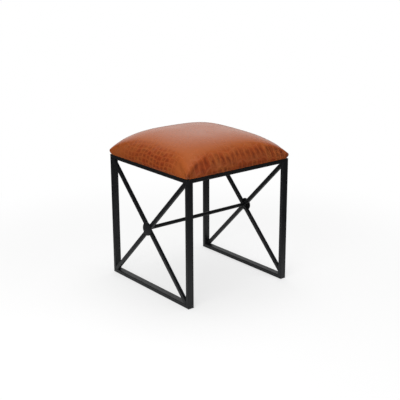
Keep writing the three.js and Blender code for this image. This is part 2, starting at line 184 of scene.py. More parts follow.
# World: a white backdrop behind the stool, in reflections only, its soft edges, and a dim room
BACKDROP_AZIMUTH = math.radians(33)
BACKDROP_TOWARD = Vector((math.sin(BACKDROP_AZIMUTH), math.cos(BACKDROP_AZIMUTH), 0.0))
BACKDROP_ACROSS = Vector((math.cos(BACKDROP_AZIMUTH), -math.sin(BACKDROP_AZIMUTH), 0.0))
BACKDROP_AHEAD = (0.52, 0.95)
BACKDROP_ASIDE = (0.46, 0.76)
BACKDROP_STRENGTH = 0.80
ROOM_STRENGTH = 0.03
AMBIENT_STRENGTH = 0.36

# Lamps: name, place, width and watts of each, and the point that they face
LAMPS = [
    ("overhead_softbox", (0.42, 0.28, 2.30), 1.6, 20.6),
    ("left_softbox", (-1.70, -0.90, 1.10), 1.2, 21.5),
    ("front_fill", (0.70, -1.90, 0.90), 1.2, 4.0),
]
LAMP_AIM = Vector((0.0, 0.0, 0.40))

# Welds: beads in the corners and ground seams in the flush joints
BEAD_RADIUS = 0.0015
BEAD_SIDES = 10
RIPPLE_PITCH = 0.0022
RIPPLE_STEPS = 4
RIPPLE_SHARE = 0.07
RING_RIPPLES = 20
WELD_GAP = 0.0003
BRACE_WIDTH = 0.0125
BRACE_REACH = BRACE_WIDTH / math.sqrt(2)
TAB_THICKNESS = 0.003
TAB_BEAD_RANGE = (0.006, 0.038)
SEAM_PROUD = 0.0001
SEAM_EDGE = 0.00008

# Round and small pieces
MERGE_DISTANCE = 1e-6
SHARP_ANGLE = math.radians(40.0)
ROUND_SIDES = 72
ROUND_STEPS = 4
DISC_EDGE = 0.0008
ROD_EDGE = 0.0004
GLIDE_HEAD_HEIGHT = 0.002
GLIDE_STEM_RADIUS = 0.003
GLIDE_EDGE = 0.0005
GLIDE_SIDES = 48
STAPLE_WIDTH = 0.0100
STAPLE_WIRE = 0.0010
STAPLE_THICKNESS = 0.0006
STAPLE_LEG = 0.0030
STAPLE_LEG_PLACE = 0.0044
STAPLE_EDGE = 0.00018
STAPLE_INSET = 0.015
STAPLE_PITCH = 0.042
STAPLES_EACH_WAY = 3
DUST_CELL = 0.005
DUST_SAG = 0.0016
DUST_RIPPLE = 0.0003
DUST_HOLE = 0.0045
DUST_HOLE_REACH = 1.5 * DUST_CELL
DUST_CORNER = 0.010

# Finishes: the noise of the fine and of the coarse grain, their scales per metre, the colours and
# the roughness that the coarse grain runs between, and the depth of the relief
GRAIN_DETAILS = ((3.0, 0.55), (4.0, 0.6))
MOTTLE_RANGE = (0.3, 0.7)
POWDER_SCALES = (700.0, 38.0)
POWDER_COLOURS = ((0.0080, 0.0085, 0.0098, 1.0), (0.0108, 0.0114, 0.0128, 1.0))
POWDER_ROUGHNESS = (0.40, 0.48)
POWDER_DEPTH = 0.00012
POWDER_DEPTH_SHARE = 0.6
POWDER_EDGE = 0.0007
ZINC_SCALES = (1600.0, 90.0)
ZINC_COLOURS = ((0.50, 0.52, 0.55, 1.0), (0.66, 0.66, 0.64, 1.0))
ZINC_ROUGHNESS = (0.26, 0.42)
ZINC_DEPTH = 0.00003
NYLON_SCALES = (1100.0, 60.0)
NYLON_COLOURS = ((0.013, 0.013, 0.014, 1.0), (0.022, 0.022, 0.023, 1.0))
NYLON_ROUGHNESS = (0.52, 0.64)
NYLON_DEPTH = 0.00006
BIRCH_SCALES = (14.0, 160.0, 14.0)
BIRCH_COLOURS = ((0.52, 0.35, 0.19, 1.0), (0.68, 0.51, 0.32, 1.0))
BIRCH_DEPTH = 0.00015
PLY_PAIR = 0.0032
DARK_PLY_RANGE = (0.22, 0.28)
DARK_PLY_COLOUR = (0.36, 0.22, 0.11, 1.0)
DARK_PLY_SHARE = 0.25
FOAM_CELL_SCALE = 900.0
FOAM_AND_PIT_SHADE_COLOURS = ((0.60, 0.50, 0.27, 1.0), (0.85, 0.78, 0.55, 1.0))
FOAM_DEPTH = 0.0004
FIBRE_SCALES = (1300.0, 70.0)
FIBRE_COLOURS = ((0.74, 0.73, 0.70, 1.0), (0.90, 0.89, 0.86, 1.0))
FIBRE_DEPTH = 0.0006
CLOTH_SCALES = (1500.0, 55.0)
CLOTH_COLOURS = ((0.012, 0.012, 0.013, 1.0), (0.026, 0.026, 0.028, 1.0))
CLOTH_DEPTH = 0.00025
CLOTH_DOT_SCALE = 420.0
CLOTH_DOT_RANGE = (0.15, 0.4)
CLOTH_DOT_SHARE = 0.7

# Leather: the colours of its dark spots, its tiles and its creases, how much of each shows, its
# gloss, and the depths of its tiles and its pores
LEATHER_DARK = (0.150, 0.021, 0.0050, 1.0)
LEATHER_BODY = (0.330, 0.043, 0.0080, 1.0)
LEATHER_LIGHT = (0.435, 0.110, 0.0235, 1.0)
LEATHER_CREASE = (0.470, 0.094, 0.0170, 1.0)
LEATHER_SCALES = (1400.0, 26.0)
SPOT_SCALE = 2.6
SPOT_RANGE = (0.22, 0.62)
SPOT_SHARE = 0.86
CENTRE_RANGE = (0.12, 0.48)
CENTRE_SHARES = (1.0, 0.25)
TONE_SHARE = 0.5
TONE_RANGE = (0.35, 1.05)
# How much paler faint tiles turn: painted light, a sheen on the top and light at the lower edge
PAINTED_LIGHT_SHARE = 0.75
CREASE_SHARE = 0.37
CREASE_ROUGHNESS = 0.08
LEATHER_ROUGHNESS = (0.23, 0.29)
TILE_DEPTH = 0.0003
TILE_DEPTH_SHARE = 0.35
PORE_DEPTH = 0.00008
PORE_DEPTH_SHARE = 0.5


# Small helpers for meshes and nodes

def box_size(node):
    low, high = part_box(node)
    return low, high, high - low


def object_from(name, bm, slot):
    """Turns a bmesh into a piece of the stool with its finish, smooth but for its sharp edges."""
    mesh = bpy.data.meshes.new(name)
    bm.to_mesh(mesh)
    bm.free()
    mesh.polygons.foreach_set("use_smooth", [True] * len(mesh.polygons))
    mesh.set_sharp_from_angle(angle=SHARP_ANGLE)
    mesh.materials.append(finishes[slot])
    piece = bpy.data.objects.new(name, mesh)
    bpy.context.scene.collection.objects.link(piece)
    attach(piece, "root")
    return piece


def add_node(tree, kind, inputs=None, **settings):
    """Adds a node. An input's value is a number, a colour, or the socket that feeds it."""
    made = tree.nodes.new(kind)
    for name, value in settings.items():
        setattr(made, name, value)
    for name, value in (inputs or {}).items():
        if isinstance(value, bpy.types.NodeSocket):
            tree.links.new(value, made.inputs[name])
        else:
            made.inputs[name].default_value = value
    return made


def math_node(tree, operation, *values):
    return add_node(tree, "ShaderNodeMath", dict(enumerate(values)), operation=operation).outputs[0]


def product(tree, first, *others):
    """Multiplies numbers and sockets one after another."""
    for other in others:
        first = math_node(tree, "MULTIPLY", first, other)
    return first


def ramp(tree, value, from_low, from_high, to_low=0.0, to_high=1.0, smooth=False):
    """Maps a value from one range to another, held at its ends."""
    limits = {"From Min": from_low, "From Max": from_high, "To Min": to_low, "To Max": to_high}
    return add_node(
        tree, "ShaderNodeMapRange", {"Value": value, **limits},
        interpolation_type="SMOOTHSTEP" if smooth else "LINEAR",
    ).outputs["Result"]


def mix_colours(tree, share, first, second):
    inputs = {0: share, 6: first, 7: second}
    return add_node(tree, "ShaderNodeMix", inputs, data_type="RGBA").outputs[2]


def place_socket(tree):
    return tree.nodes.new("ShaderNodeTexCoord").outputs["Object"]


def grey(tone):
    return (tone, tone, tone, 1.0)


# Grain shared by several finishes

def grain_group():
    """A node group: fine noise on the piece as a height, and coarse noise as a mottle."""
    group = bpy.data.node_groups.new("surface_grain", "ShaderNodeTree")
    for name in ("Fine Scale", "Coarse Scale"):
        group.interface.new_socket(name, in_out="INPUT", socket_type="NodeSocketFloat")
    for name in ("Height", "Mottle"):
        group.interface.new_socket(name, in_out="OUTPUT", socket_type="NodeSocketFloat")
    scales = group.nodes.new("NodeGroupInput").outputs
    results = group.nodes.new("NodeGroupOutput").inputs
    place = place_socket(group)
    for number, (detail, roughness) in enumerate(GRAIN_DETAILS):
        inputs = {"Vector": place, "Scale": scales[number], "Detail": detail, "Roughness": roughness}
        grained = add_node(group, "ShaderNodeTexNoise", inputs)
        group.links.new(grained.outputs["Fac"], results[number])
    return group


def add_grain(tree, scales):
    made = tree.nodes.new("ShaderNodeGroup")
    made.node_tree = grain
    made.inputs["Fine Scale"].default_value, made.inputs["Coarse Scale"].default_value = scales
    return made.outputs["Height"], made.outputs["Mottle"]


def add_bump(tree, shader, height, distance, strength=1.0, normal=None):
    inputs = {"Height": height, "Distance": distance, "Strength": strength}
    if normal is not None:
        inputs["Normal"] = normal
    bump = add_node(tree, "ShaderNodeBump", inputs).outputs["Normal"]
    tree.links.new(bump, shader.inputs["Normal"])
    return bump


# Finishes

def new_finish(name):
    """A material with a Principled shader: returns the material, its tree and the shader."""
    material = bpy.data.materials.new(name)
    material.use_nodes = True
    tree = material.node_tree
    return material, tree, tree.nodes["Principled BSDF"]


def colour_between(tree, shader, share, colours):
    tree.links.new(mix_colours(tree, share, *colours), shader.inputs["Base Color"])


def grained_finish(name, scales, colours):
    """A finish whose colour runs between two with its coarse grain, and the grain's two values."""
    material, tree, shader = new_finish(name)
    height, mottle = add_grain(tree, scales)
    colour_between(tree, shader, mottle, colours)
    return material, tree, shader, height, mottle


def uneven_gloss(tree, shader, mottle, roughness):
    tree.links.new(ramp(tree, mottle, *MOTTLE_RANGE, *roughness), shader.inputs["Roughness"])


def powder_coat():
    """Satin black powder coat: a faint orange peel, slightly uneven in gloss."""
    material, tree, shader, height, mottle = grained_finish("powder_coat", POWDER_SCALES, POWDER_COLOURS)
    uneven_gloss(tree, shader, mottle, POWDER_ROUGHNESS)
    rounded = add_node(tree, "ShaderNodeBevel", {"Radius": POWDER_EDGE}, samples=4).outputs["Normal"]
    add_bump(tree, shader, height, POWDER_DEPTH, POWDER_DEPTH_SHARE, rounded)
    return material


def zinc_plate():
    """Bright zinc plating with a faint blue-grey cloud."""
    material, tree, shader, height, mottle = grained_finish("zinc", ZINC_SCALES, ZINC_COLOURS)
    shader.inputs["Metallic"].default_value = 1.0
    uneven_gloss(tree, shader, mottle, ZINC_ROUGHNESS)
    add_bump(tree, shader, height, ZINC_DEPTH)
    return material


def black_nylon():
    """Moulded black nylon: even, dull, with a fine texture."""
    material, tree, shader, height, mottle = grained_finish("nylon", NYLON_SCALES, NYLON_COLOURS)
    uneven_gloss(tree, shader, mottle, NYLON_ROUGHNESS)
    add_bump(tree, shader, height, NYLON_DEPTH)
    return material


def birch_plywood():
    """Raw birch plywood: plies in its edge, and a drawn-out grain in its faces."""
    material, tree, shader = new_finish("plywood")
    place = place_socket(tree)
    drawn = add_node(tree, "ShaderNodeMapping", {"Vector": place, "Scale": BIRCH_SCALES}).outputs[0]
    inputs = {"Vector": drawn, "Scale": 1.0, "Detail": 5.0}
    grain_lines = add_node(tree, "ShaderNodeTexNoise", inputs).outputs["Fac"]
    height = add_node(tree, "ShaderNodeSeparateXYZ", {0: place}).outputs["Z"]
    ply = math_node(tree, "FRACT", product(tree, height, 1 / PLY_PAIR))
    dark_ply = ramp(tree, math_node(tree, "PINGPONG", ply, 0.5), *DARK_PLY_RANGE)
    face = mix_colours(tree, grain_lines, *BIRCH_COLOURS)
    dark_share = product(tree, dark_ply, DARK_PLY_SHARE)
    colour_between(tree, shader, dark_share, (face, DARK_PLY_COLOUR))
    shader.inputs["Roughness"].default_value = 0.75
    add_bump(tree, shader, grain_lines, BIRCH_DEPTH)
    return material


def cut_foam():
    """Cream foam with open cells, darker in their pits: a painted shade."""
    material, tree, shader = new_finish("foam")
    inputs = {"Vector": place_socket(tree), "Scale": FOAM_CELL_SCALE}
    cells = add_node(tree, "ShaderNodeTexVoronoi", inputs).outputs["Distance"]
    # The darker colour in the cells' pits is painted shade
    colour_between(tree, shader, cells, FOAM_AND_PIT_SHADE_COLOURS)
    shader.inputs["Roughness"].default_value = 0.95
    add_bump(tree, shader, cells, FOAM_DEPTH)
    return material


def fibre_batting():
    """White polyester wrap: tangled fibres."""
    material, tree, shader, height, _ = grained_finish("fibre", FIBRE_SCALES, FIBRE_COLOURS)
    shader.inputs["Roughness"].default_value = 1.0
    shader.inputs["Sheen Weight"].default_value = 0.4
    add_bump(tree, shader, height, FIBRE_DEPTH)
    return material


def dust_cloth():
    """Black non-woven cloth, pressed in small dots."""
    material, tree, shader, height, _ = grained_finish("dust_cloth", CLOTH_SCALES, CLOTH_COLOURS)
    inputs = {"Vector": place_socket(tree), "Scale": CLOTH_DOT_SCALE, "Randomness": 0.15}
    dots = add_node(tree, "ShaderNodeTexVoronoi", inputs, voronoi_dimensions="2D").outputs["Distance"]
    pressed = ramp(tree, dots, *CLOTH_DOT_RANGE, smooth=True)
    shader.inputs["Roughness"].default_value = 0.92
    shader.inputs["Sheen Weight"].default_value = 0.15
    total = math_node(tree, "MULTIPLY_ADD", pressed, CLOTH_DOT_SHARE, height)
    add_bump(tree, shader, total, CLOTH_DEPTH)
    return material


def tile_sockets(tree, place):
    """The hide's tiles: distance to the nearest crease, a colour for each tile, distance to its middle."""
    inputs = {"Vector": place, "Scale": 1.0, "Randomness": TILE_RANDOMNESS}
    edges, cells = (
        add_node(tree, "ShaderNodeTexVoronoi", inputs, voronoi_dimensions="2D", feature=feature)
        for feature in ("DISTANCE_TO_EDGE", "F1")
    )
    return edges.outputs["Distance"], cells.outputs["Color"], cells.outputs["Distance"]


def tile_body(tree, hide, depth, mottle, tile_colour, centre_distance):
    """The colour of the tiles' bodies: toned tile by tile, with dark spots about their middles."""
    tile_tone = add_node(tree, "ShaderNodeSeparateColor", {"Color": tile_colour}).outputs["Red"]
    toned = ramp(tree, math_node(tree, "MULTIPLY_ADD", tile_tone, TONE_SHARE, mottle), *TONE_RANGE)
    # Paler where the tiles are fainter: a painted sheen on the top and painted light at the lower edge
    painted_light = math_node(tree, "SUBTRACT", 1.0, product(tree, depth, PAINTED_LIGHT_SHARE))
    body = mix_colours(tree, math_node(tree, "MAXIMUM", toned, painted_light), LEATHER_BODY, LEATHER_LIGHT)
    inputs = {"Vector": hide, "Scale": SPOT_SCALE, "Detail": 2.0, "Roughness": 0.6}
    spots = add_node(tree, "ShaderNodeTexNoise", inputs).outputs["Fac"]
    spotted = product(tree, ramp(tree, spots, *SPOT_RANGE, smooth=True), depth)
    centre = ramp(tree, centre_distance, *CENTRE_RANGE, *CENTRE_SHARES)
    return mix_colours(tree, product(tree, centre, spotted, SPOT_SHARE), body, LEATHER_DARK)


def embossed_leather():
    """Rust-orange leather with embossed tiles: dark, spotted bodies, lighter creases and a soft gloss."""
    material, tree, shader = new_finish("leather")
    hide = add_node(tree, "ShaderNodeUVMap", uv_map=HIDE_MAP).outputs["UV"]
    depth = add_node(tree, "ShaderNodeAttribute", attribute_name=DEPTH_NAME).outputs["Fac"]
    distance, tile_colour, centre_distance = tile_sockets(tree, hide)
    height, mottle = add_grain(tree, LEATHER_SCALES)
    body = tile_body(tree, hide, depth, mottle, tile_colour, centre_distance)
    away = ramp(tree, distance, TILE_CREASE_START, TILE_CREASE_WIDTH, smooth=True)
    crease = product(tree, math_node(tree, "SUBTRACT", 1.0, away), depth)
    colour_between(tree, shader, product(tree, crease, CREASE_SHARE), (body, LEATHER_CREASE))
    gloss = ramp(tree, mottle, *MOTTLE_RANGE, *LEATHER_ROUGHNESS)
    rough = math_node(tree, "MULTIPLY_ADD", crease, CREASE_ROUGHNESS, gloss)
    tree.links.new(rough, shader.inputs["Roughness"])
    raised = product(tree, ramp(tree, distance, 0.0, TILE_CREASE_WIDTH, smooth=True), depth)
    pillow = add_bump(tree, shader, raised, TILE_DEPTH, TILE_DEPTH_SHARE)
    add_bump(tree, shader, height, PORE_DEPTH, PORE_DEPTH_SHARE, pillow)
    return material


# Turned and welded pieces of the frame

def put(bm, turn, place):
    bmesh.ops.transform(bm, matrix=Matrix.Translation(place) @ turn, verts=bm.verts)


def turn_about(axis, angle):
    return Matrix.Rotation(angle, 4, axis)


def spin_round(bm, line, steps):
    """Spins points and edges once round the Z axis."""
    bmesh.ops.spin(
        bm, geom=line, cent=(0, 0, 0), axis=(0, 0, 1), dvec=(0, 0, 0),
        angle=2 * math.pi, steps=steps, use_merge=True,
    )
    bmesh.ops.remove_doubles(bm, verts=bm.verts, dist=MERGE_DISTANCE)


def turned(profile, sides, turn, place):
    """A closed body turned from a profile of radius and height, then turned and moved to its place."""
    bm = bmesh.new()
    points = [bm.verts.new((radius, 0.0, height)) for radius, height in profile]
    lines = [bm.edges.new(pair) for pair in zip(points, points[1:])]
    spin_round(bm, points + lines, sides)
    put(bm, turn, place)
    bmesh.ops.recalc_face_normals(bm, faces=bm.faces)
    return bm


def rounded_rim(radius, height, edge):
    """Profile points of a rim rounded at its top, from the side up to the flat."""
    angles = [QUARTER * step / ROUND_STEPS for step in range(ROUND_STEPS + 1)]
    return [
        (radius - edge + edge * math.cos(angle), height - edge + edge * math.sin(angle))
        for angle in angles
    ]


def add_hub_disc(side, sign):
    """The round disc over a crossing, with its outer rim rounded."""
    low, high, size = box_size(f"{side}_hub_disc")
    radius = size.z / 2
    profile = [(0.0, 0.0), (radius, 0.0), *rounded_rim(radius, size.x, DISC_EDGE), (0.0, size.x)]
    place = (low.x if sign > 0 else high.x, 0.0, (low.z + high.z) / 2)
    body = turned(profile, ROUND_SIDES, turn_about("Y", sign * QUARTER), place)
    disc = object_from(f"{side}_crossing_disc", body, "powder_coat")
    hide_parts(f"{side}_hub_disc")


def add_stretcher():
    """The round rod between the two crossings."""
    low, high, size = box_size("stretcher_rod")
    half = rounded_rim(size.z / 2, size.x / 2, ROD_EDGE)
    mirrored = [(radius, -height) for radius, height in reversed(half)]
    profile = [(0.0, -size.x / 2), *mirrored, *half, (0.0, size.x / 2)]
    place = (0.0, 0.0, (low.z + high.z) / 2)
    rod = object_from(
        "stretcher", turned(profile, ROUND_SIDES, turn_about("Y", QUARTER), place), "powder_coat"
    )
    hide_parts("stretcher_rod")


def add_glide(corner):
    """A push-in glide: a domed rim on the floor and its stem in the rail."""
    low, high, size = box_size(f"{corner}_floor_glide")
    rim = rounded_rim(size.x / 2, GLIDE_HEAD_HEIGHT, GLIDE_EDGE)
    profile = [
        (0.0, 0.0),
        *((radius, GLIDE_HEAD_HEIGHT - height) for radius, height in reversed(rim)),
        (size.x / 2, GLIDE_HEAD_HEIGHT),
        (GLIDE_STEM_RADIUS, GLIDE_HEAD_HEIGHT),
        *rounded_rim(GLIDE_STEM_RADIUS, size.z, GLIDE_EDGE),
        (0.0, size.z),
    ]
    place = ((low.x + high.x) / 2, (low.y + high.y) / 2, low.z)
    body = turned(profile, GLIDE_SIDES, Matrix.Identity(4), place)
    glide = object_from(f"{corner}_glide", body, "nylon")
    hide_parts(f"{corner}_floor_glide")


# Welds

class Joined:
    """A mesh of several closed bodies, made one at a time."""

    def __init__(self):
        self.bm = bmesh.new()

    def add(self, body):
        mesh = bpy.data.meshes.new("body")
        body.to_mesh(mesh)
        body.free()
        self.bm.from_mesh(mesh)
        bpy.data.meshes.remove(mesh)


def bead(start, end):
    """A weld bead along a line: a thin rod with the ripples of its pool, rounded at both ends."""
    start = Vector(start)
    end = Vector(end)
    length = (end - start).length
    count = max(2, round(length / RIPPLE_PITCH))
    steps = count * RIPPLE_STEPS
    profile = [(0.0, 0.0)]
    for step in range(1, steps):
        share = step / steps
        from_end = min(share, 1 - share) * length / BEAD_RADIUS
        rounding = math.sqrt(1 - (1 - min(from_end, 1)) ** 2)
        ripple = 1 + RIPPLE_SHARE * math.cos(2 * math.pi * count * share)
        profile.append((BEAD_RADIUS * rounding * ripple, share * length))
    profile.append((0.0, length))
    turn = (end - start).to_track_quat("Z", "Y").to_matrix().to_4x4()
    return turned(profile, BEAD_SIDES, turn, start)


def ring_bead(radius, turn, place):
    """A weld bead round the end of a rod."""
    bm = bmesh.new()
    made = bmesh.ops.create_circle(bm, segments=BEAD_SIDES, radius=BEAD_RADIUS)
    bmesh.ops.rotate(bm, matrix=turn_about("X", QUARTER), verts=made["verts"])
    bmesh.ops.translate(bm, vec=(radius, 0, 0), verts=made["verts"])
    spin_round(bm, made["verts"] + bm.edges[:], RING_RIPPLES * RIPPLE_STEPS)
    for vert in bm.verts:
        angle = math.atan2(vert.co.y, vert.co.x)
        ripple = 1 + RIPPLE_SHARE * math.cos(RING_RIPPLES * angle)
        middle = Vector((radius * math.cos(angle), radius * math.sin(angle), 0))
        vert.co = middle + (vert.co - middle) * ripple
    put(bm, turn, place)
    bmesh.ops.recalc_face_normals(bm, faces=bm.faces)
    return bm


def block(size):
    bm = bmesh.new()
    bmesh.ops.create_cube(bm, size=1.0)
    bmesh.ops.scale(bm, vec=size, verts=bm.verts)
    return bm


def round_edges(bm, edges, width):
    bmesh.ops.bevel(
        bm, geom=edges, offset=width, offset_type="OFFSET", affect="EDGES", segments=2,
        profile=0.5, material=-1,
    )


def ground_seam(size, turn, place):
    """A butt weld ground nearly flush: it fills the joint and stands a little proud of it."""
    bm = block(size)
    round_edges(bm, bm.edges[:], SEAM_EDGE)
    put(bm, turn, place)
    return bm


def frame_sizes():
    """The faces of the left side frame and of its braces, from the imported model's nodes."""
    post_low, post_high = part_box("left_back_post")
    rail_low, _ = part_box("left_top_rail")
    brace_low, brace_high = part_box("left_long_brace")
    middle = (brace_low.z + brace_high.z) / 2
    return {
        "outer": -post_low.x,
        "inner": -post_high.x,
        "depth": post_high.y,
        "opening": post_low.y,
        "tube": post_high.y - post_low.y,
        "top": post_high.z,
        "middle": middle,
        "rise": rail_low.z - middle,
        "brace_inner": -brace_high.x,
        "brace_thickness": brace_high.x - brace_low.x,
    }


def add_corner_welds(welds, sizes, sign, across, up):
    """The beads round a brace's end in one corner of a side frame, and the seam of its mitre."""
    outer = sign * (sizes["outer"] - BEAD_RADIUS)
    inner = sign * sizes["brace_inner"]
    y = across * sizes["opening"]
    z = sizes["middle"] + up * sizes["rise"]
    on_rail = (inner, y - across * BRACE_REACH, z)
    on_post = (inner, y, z - up * BRACE_REACH)
    for start in (on_rail, on_post):
        welds.add(bead((outer, *start[1:]), start))
    for start in (on_rail, on_post):
        welds.add(bead(start, (inner, y, z)))
    width = sizes["outer"] - sizes["inner"] + 2 * SEAM_PROUD
    flat = sizes["tube"] * math.sqrt(2) + 2 * SEAM_PROUD
    place = (
        sign * (sizes["outer"] + sizes["inner"]) / 2,
        across * (sizes["depth"] - sizes["tube"] / 2),
        sizes["middle"] + up * (sizes["top"] - sizes["middle"] - sizes["tube"] / 2),
    )
    turn = turn_about("X", across * up * QUARTER / 2)
    welds.add(ground_seam((width, flat, WELD_GAP), turn, place))


def add_crossing_welds(welds, sizes, sign):
    """The beads and seams of the crossing, and the ring round the end of the stretcher."""
    inner = sign * sizes["brace_inner"]
    middle = sizes["middle"]
    for across, up in ((1, 0), (-1, 0), (0, 1), (0, -1)):
        end = (inner, across * BRACE_REACH, middle + up * BRACE_REACH)
        welds.add(bead((sign * (sizes["outer"] - BEAD_RADIUS), *end[1:]), end))
    thickness = sizes["brace_thickness"]
    size = (thickness + 2 * SEAM_PROUD, BRACE_WIDTH + 2 * SEAM_PROUD, WELD_GAP)
    for up in (-1, 1):
        offset = up * (BRACE_WIDTH + WELD_GAP) / 2 / math.sqrt(2)
        place = (sign * (sizes["outer"] - thickness / 2), -offset, middle + offset)
        welds.add(ground_seam(size, turn_about("X", QUARTER / 2), place))
    low, high, rod = box_size("stretcher_rod")
    welds.add(ring_bead(rod.z / 2, turn_about("Y", QUARTER), (inner, 0, (low.z + high.z) / 2)))


def add_side_welds(side, sign):
    """All the welds of one side frame: braces, mitres, crossing and the stretcher's end."""
    sizes = frame_sizes()
    welds = Joined()
    for across in (-1, 1):
        for up in (-1, 1):
            add_corner_welds(welds, sizes, sign, across, up)
    add_crossing_welds(welds, sizes, sign)
    object_from(f"{side}_frame_welds", welds.bm, "powder_coat")


def add_rail_welds(welds, end, across):
    """The seams and beads at both ends of one cross rail."""
    low, high, size = box_size(f"{end}_top_rail")
    middle = (low + high) / 2
    inner_y = across * min(abs(low.y), abs(high.y))
    seam_size = (WELD_GAP, size.y + 2 * SEAM_PROUD, size.z + 2 * SEAM_PROUD)
    for _, sign in SIDES:
        joint = sign * (frame_sizes()["inner"] + high.x) / 2
        welds.add(ground_seam(seam_size, Matrix.Identity(4), (joint, middle.y, middle.z)))
        x = sign * high.x
        welds.add(bead((x, inner_y, low.z + BEAD_RADIUS), (x, inner_y, high.z - TAB_THICKNESS)))


def add_tab_welds(welds, corner, sign, across):
    """The beads along the two edges of a corner tab."""
    low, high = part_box(f"{corner}_seat_tab")
    x = sign * max(abs(low.x), abs(high.x))
    y = across * max(abs(low.y), abs(high.y))
    near, far = TAB_BEAD_RANGE
    welds.add(bead((x - sign * near, y, low.z), (x - sign * far, y, low.z)))
    welds.add(bead((x, y - across * near, low.z), (x, y - across * far, low.z)))


def add_rail_and_tab_welds():
    """The welds of the cross rails' ends and of the corner tabs."""
    welds = Joined()
    for end, across in ENDS:
        add_rail_welds(welds, end, across)
    for corner in CORNERS:
        add_tab_welds(welds, *corner)
    object_from("rail_and_tab_welds", welds.bm, "powder_coat")


# Reading, placing and finishing the points of a mesh

def vectors_of(rows, name):
    values = np.zeros(len(rows) * 3)
    rows.foreach_get(name, values)
    return values.reshape(-1, 3)


def points_of(mesh):
    return vectors_of(mesh.vertices, "co")


def shares_of(mesh):
    """Each point's shares of the half width, across and deep, and the number of its ring."""
    return vectors_of(mesh.attributes["share"].data, "vector")


def place_points(mesh, places):
    mesh.vertices.foreach_set("co", np.ascontiguousarray(places).ravel())
    mesh.update()


def smooth_step(value, low, high):
    share = np.clip((value - low) / (high - low), 0, 1)
    return share * share * (3 - 2 * share)


def boundary(bm):
    return [edge for edge in bm.edges if edge.is_boundary]


def subdivided(levels):
    return "SUBSURF", {"levels": levels, "render_levels": levels}


def thickened(thickness):
    return "SOLIDIFY", {"thickness": thickness, "offset": -1.0}


def shaped(piece, *modifiers):
    """Applies modifiers, each a kind and its settings, and keeps the piece's result as its mesh."""
    for kind, settings in modifiers:
        modifier = piece.modifiers.new(kind.lower(), kind)
        for name, value in settings.items():
            setattr(modifier, name, value)
    evaluated = piece.evaluated_get(bpy.context.evaluated_depsgraph_get())
    old = piece.data
    piece.data = bpy.data.meshes.new_from_object(evaluated)
    piece.modifiers.clear()
    piece.data.name = piece.name
    bpy.data.meshes.remove(old)


# The seat's shape

def crown_section(share):
    """How high the crown stands at a share of the half width, as a share of its full rise."""
    return np.clip(1 - np.abs(share) ** CROWN_SIDE_SHARE, 0, 1) ** CROWN_RISE_SHARE


def even_shares(half, rise, count):
    """Shares of the half width that lie at even distances along the crown's middle section."""
    angles = np.linspace(0, QUARTER, ARC_SAMPLES)
    shares = np.sin(angles)
    along = np.hypot(np.diff(shares * half), np.diff(crown_section(shares) * rise))
    reached = np.concatenate([[0], np.cumsum(along)])
    return np.interp(np.linspace(0, reached[-1], count + 1), reached, shares)


def plan_place(across, deep, half, radius):
    """The plan point of a square's shares, on a square with rounded corners."""
    ring = max(abs(across), abs(deep))
    if ring == 0:
        return 0.0, 0.0
    x, y = across * half, deep * half
    straight = ring * (half - radius)
    over_x, over_y = abs(x) - straight, abs(y) - straight
    if over_x > 0 and over_y > 0:
        scale = max(over_x, over_y) / math.hypot(over_x, over_y)
        x = math.copysign(straight + over_x * scale, x)
        y = math.copysign(straight + over_y * scale, y)
    return x, y


class Layer:
    """One layer of the seat: its half width, its top, and the height at which its crown ends."""

    def __init__(self, half, top, base):
        self.half = half
        self.top = top
        self.base = base

    def crown_place(self, across, deep):
        """A point of the crown, which leans toward its back left corner."""
        x, y = plan_place(across, deep, self.half, SEAT_CORNER_RADIUS)
        rise = crown_section(x / self.half) * crown_section(y / self.half)
        lean = CROWN_LEAN * (y - x) / self.half
        return Vector((x, y, self.base + (self.top - self.base + lean) * rise))

    def ring_place(self, across, deep, inset, height, radius, hang=0.0):
        """A point of a ring below the crown, drawn in from the edge. It hangs lower off the corners."""
        x, y = plan_place(across, deep, self.half - inset, radius)
        along = min(abs(across), abs(deep))
        return Vector((x, y, height - hang * (1 - smooth_step(along, *HANG_RANGE))))


def put_in_order(bm, share):
    """Gives a sheet the same order of points, edges and faces on each run, so its cloth run repeats."""
    for number, vert in enumerate(sorted(bm.verts, key=lambda vert: tuple(vert[share])[::-1])):
        vert.index = number
    bm.verts.sort()
    for parts in (bm.edges, bm.faces):
        ranked = sorted(parts, key=lambda part: sorted(vert.index for vert in part.verts))
        for number, part in enumerate(ranked):
            part.index = number
        parts.sort()


def turn_edges_one_way(mesh):
    """Lets each edge run from its lower to its higher point, which an extrusion leaves to chance."""
    pairs = np.zeros(len(mesh.edges) * 2, int)
    mesh.edges.foreach_get("vertices", pairs)
    mesh.edges.foreach_set("vertices", np.sort(pairs.reshape(-1, 2), axis=1).ravel())


def crowned_sheet(crown, skirt, cells, rings):
    """A crowned grid, then rings round its edge: insets from the skirt's layer, heights and radii."""
    bm = bmesh.new()
    bmesh.ops.create_grid(bm, x_segments=cells, y_segments=cells, size=1.0)
    share = bm.verts.layers.float_vector.new("share")
    half_shares = even_shares(crown.half, crown.top - crown.base, cells // 2)
    for vert in bm.verts:
        steps = [round((value + 1) / 2 * cells) - cells // 2 for value in vert.co[:2]]
        across, deep = (math.copysign(half_shares[abs(step)], step) for step in steps)
        vert[share] = (across, deep, 0.0)
        vert.co = crown.crown_place(across, deep)
    for number, ring in enumerate(rings, start=1):
        rim = boundary(bm)
        old = {vert for edge in rim for vert in edge.verts}
        bmesh.ops.extrude_edge_only(bm, edges=rim)
        fresh = {vert for edge in boundary(bm) for vert in edge.verts} - old
        for vert in fresh:
            across, deep, _ = vert[share]
            vert[share] = (across, deep, float(number))
            vert.co = skirt.ring_place(across, deep, *ring)
    bmesh.ops.recalc_face_normals(bm, faces=bm.faces)
    put_in_order(bm, share)
    return bm


